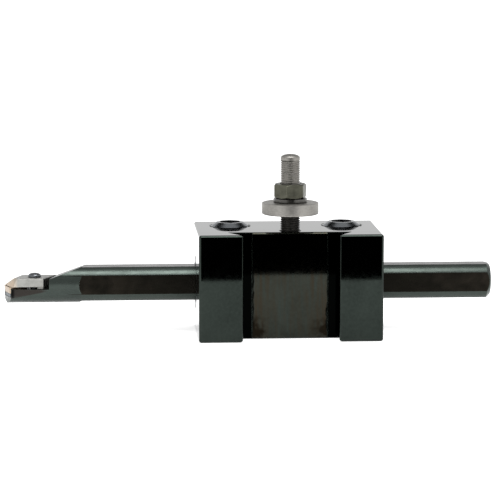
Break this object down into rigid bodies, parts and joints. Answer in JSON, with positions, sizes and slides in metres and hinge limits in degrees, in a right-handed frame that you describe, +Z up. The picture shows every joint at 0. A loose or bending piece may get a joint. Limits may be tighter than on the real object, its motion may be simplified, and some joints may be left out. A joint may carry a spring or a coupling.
{
  "type": "boring bar tool holder",
  "caption": "Dovetailed lathe tool holder block with a height stud and wheel, a sleeve and a boring bar with a clamped insert.",
  "frame": {"origin": "centre of the block's underside", "axes": "+X along the boring bar towards its plain end, -Y out of the dovetail slot towards the tool post, +Z up along the height stud"},
  "size_m": [0.2393, 0.054, 0.0894],
  "materials": {
    "black_oxide_block": "satin black oxide over ground faces",
    "dark_steel": "black oxide",
    "bar_steel": "hardened and blackened, satin",
    "stud_steel": "rolled thread, grey brown",
    "wheel_steel": "turned, fine satin",
    "nut_steel": "oiled olive grey",
    "clamp_steel": "ground silver grey",
    "carbide": "ground carbide with a warm tint"
  },
  "bodies": {
    "holder": {"holder_block": "black_oxide_block", "height_stud": "stud_steel"},
    "left_screw": {"set_screw_left": "dark_steel"},
    "right_screw": {"set_screw_right": "dark_steel"},
    "washer": {"lock_washer": "dark_steel"},
    "wheel": {"thumbwheel": "wheel_steel"},
    "nut": {"lock_nut": "nut_steel"},
    "sleeve": {"split_sleeve": "dark_steel"},
    "bar": {"boring_bar": "bar_steel", "cutting_insert": "carbide", "insert_seat": "carbide"},
    "clamp": {"top_clamp": "clamp_steel"},
    "clamp_screw": {"clamp_screw": "dark_steel"}
  },
  "joints": [
    {"name": "left_screw_travel", "type": "slide", "parent": "holder", "child": "left_screw", "axis": [0, 0, 1], "range_m": [0, 0.008]},
    {"name": "right_screw_travel", "type": "slide", "parent": "holder", "child": "right_screw", "axis": [0, 0, 1], "range_m": [0, 0.008]},
    {"name": "height_travel", "type": "slide", "parent": "holder", "child": "washer", "axis": [0, 0, 1], "range_m": [-0.0075, 0.011]},
    {"name": "wheel_turn", "type": "hinge", "parent": "washer", "child": "wheel", "pos_m": [0.0005, -0.0106, 0.063], "axis": [0, 0, 1], "range_deg": [-2552, 3743]},
    {"name": "nut_turn", "type": "hinge", "parent": "washer", "child": "nut", "pos_m": [0.0005, -0.0106, 0.0716], "axis": [0, 0, 1], "range_deg": [-2552, 3743]},
    {"name": "sleeve_turn", "type": "hinge", "parent": "holder", "child": "sleeve", "pos_m": [0, 0.0095, 0.0243], "axis": [1, 0, 0], "continuous": true},
    {"name": "bar_slide", "type": "slide", "parent": "sleeve", "child": "bar", "axis": [1, 0, 0], "range_m": [-0.05, 0.05]},
    {"name": "clamp_lift", "type": "slide", "parent": "bar", "child": "clamp", "axis": [0, 0, 1], "range_m": [0, 0.002]},
    {"name": "clamp_screw_turn", "type": "hinge", "parent": "clamp", "child": "clamp_screw", "pos_m": [-0.12335, 0.00857, 0.0243], "axis": [0, 0, 1], "range_deg": [0, 1030]}
  ],
  "couplings": [
    {"joint": "wheel_turn", "follows": "height_travel", "rad_per_m": 5936.9},
    {"joint": "nut_turn", "follows": "height_travel", "rad_per_m": 5936.9},
    {"joint": "clamp_screw_turn", "follows": "clamp_lift", "rad_per_m": 8976}
  ]
}
